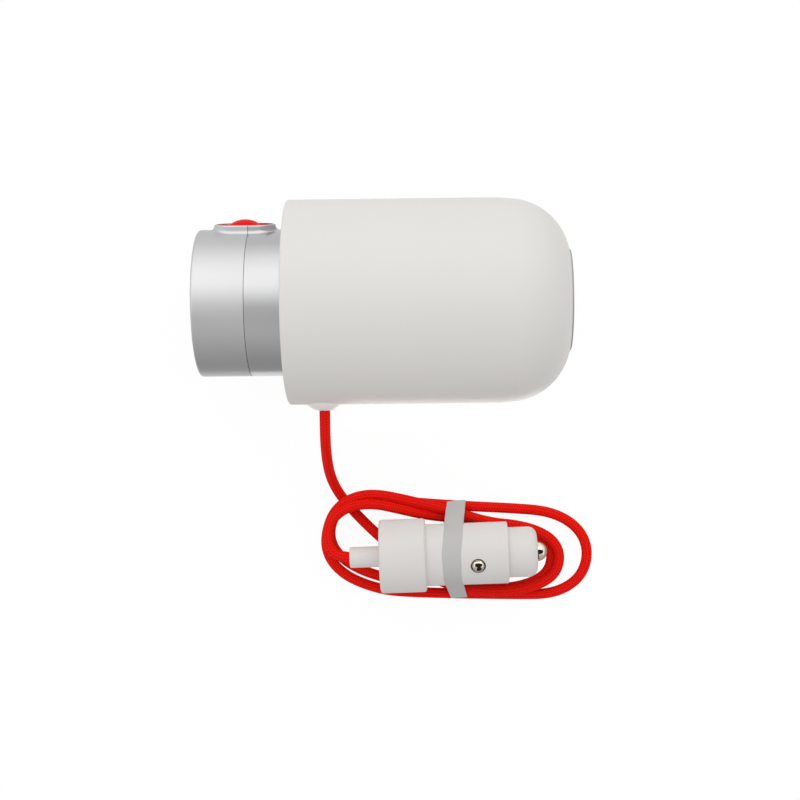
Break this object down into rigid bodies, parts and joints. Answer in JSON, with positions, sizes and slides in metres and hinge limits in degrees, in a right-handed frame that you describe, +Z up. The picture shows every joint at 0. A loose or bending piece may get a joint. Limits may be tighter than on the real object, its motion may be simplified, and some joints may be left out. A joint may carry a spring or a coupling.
{
  "type": "cup-holder power inverter",
  "caption": "Round white cup-holder mains inverter with a silver outlet neck, a red power button and a red braided lead wound round its 12 V plug.",
  "frame": {"origin": "on the surface that the device lies on, under the middle of its length and of its width, without the lead and plug", "axes": "+X along the device from its neck to its domed base, +Z up as it lies, +Y away from the lead"},
  "size_m": [0.1305, 0.1363, 0.067],
  "materials": {
    "white_shell": "satin moulded",
    "silver_neck": "satin anodised",
    "grey_grille": "matte",
    "button_red": "satin",
    "face_white": "satin",
    "dark_plastic": "matte",
    "cream_plastic": "moulded",
    "board_green": "solder mask",
    "contact_brass": "stamped",
    "plated_gold": "polished nickel plate, pale gold",
    "bright_steel": "zinc plated",
    "spring_steel": "bright drawn",
    "heat_sink_aluminium": "extruded",
    "ferrite": "sintered",
    "copper_winding": "enamelled copper",
    "capacitor_sleeve": "shrink sleeve",
    "fan_black": "moulded",
    "wire_red": "insulation",
    "light_pipe": "clear light pipe",
    "braid_red": "braided textile sleeve",
    "strap_grey": "matte silicone",
    "plug_white": "satin moulded",
    "fuse_glass": "clear glass tube"
  },
  "bodies": {
    "casing": {"body_shell": "white_shell", "shoulder_ring": "white_shell", "base_grille": "grey_grille", "neck_upper_ring": "silver_neck", "neck_lower_ring": "silver_neck", "button_switch": "dark_plastic", "switch_board": "board_green", "outlet_face": "face_white", "outlet_housing": "cream_plastic", "blade_contacts": "contact_brass", "earth_contact": "contact_brass", "usb_shells": "bright_steel", "usb_tongues": "dark_plastic", "status_light": "light_pipe", "outlet_board": "board_green", "outlet_screws": "bright_steel", "chassis": "dark_plastic", "case_screws": "bright_steel", "neck_screws": "bright_steel", "main_board": "board_green", "transformer_core": "ferrite", "transformer_winding": "copper_winding", "choke_coil": "copper_winding", "input_capacitors": "capacitor_sleeve", "bus_capacitor": "capacitor_sleeve", "heat_sink": "heat_sink_aluminium", "power_transistors": "dark_plastic", "transistor_screws": "bright_steel", "input_terminal": "cream_plastic", "output_terminal": "cream_plastic", "output_wires": "wire_red", "fan_frame": "fan_black", "fan_bearing": "contact_brass", "fan_stator": "copper_winding", "fan_screws": "bright_steel", "cord_grommet": "plug_white", "cord_clamp": "cream_plastic", "supply_wires": "wire_red", "cord_lead": "braid_red", "cord_hank": "braid_red", "cord_tail": "braid_red", "cord_strap": "strap_grey", "plug_sleeve": "plug_white", "plug_collar": "plug_white", "plug_barrel": "plug_white", "plug_nose": "plug_white", "plug_fuse": "fuse_glass", "fuse_tube": "cream_plastic", "fuse_contact": "contact_brass"},
    "button": {"power_button": "button_red", "switch_plunger": "dark_plastic"},
    "fan_rotor": {"fan_rotor": "fan_black", "fan_shaft": "bright_steel"},
    "plug_tip": {"tip_contact": "plated_gold", "tip_spring": "spring_steel"},
    "side_ball_upper": {"side_contact_upper": "plated_gold", "side_spring_upper": "spring_steel"},
    "side_ball_lower": {"side_contact_lower": "plated_gold", "side_spring_lower": "spring_steel"}
  },
  "joints": [
    {"name": "power_button_press", "type": "slide", "parent": "casing", "child": "button", "axis": [0, -0.9848, -0.1736], "range_m": [0, 0.0008], "stiffness_N_per_m": 2500, "springref_m": -0.0004},
    {"name": "fan_spin", "type": "hinge", "parent": "casing", "child": "fan_rotor", "pos_m": [0.0375, 0, 0.0335], "axis": [1, 0, 0], "continuous": true},
    {"name": "plug_tip_press", "type": "slide", "parent": "casing", "child": "plug_tip", "axis": [-0.9996, -0.0274, 0], "range_m": [0, 0.0025], "stiffness_N_per_m": 2400, "springref_m": -0.0015, "deforming": ["tip_spring"]},
    {"name": "side_ball_upper_press", "type": "slide", "parent": "casing", "child": "side_ball_upper", "axis": [-0.0089, 0.3254, -0.9455], "range_m": [0, 0.001], "stiffness_N_per_m": 2500, "springref_m": -0.0008, "deforming": ["side_spring_upper"]},
    {"name": "side_ball_lower_press", "type": "slide", "parent": "casing", "child": "side_ball_lower", "axis": [0.0089, -0.3254, 0.9455], "range_m": [0, 0.001], "stiffness_N_per_m": 2500, "springref_m": -0.0008, "deforming": ["side_spring_lower"]}
  ]
}
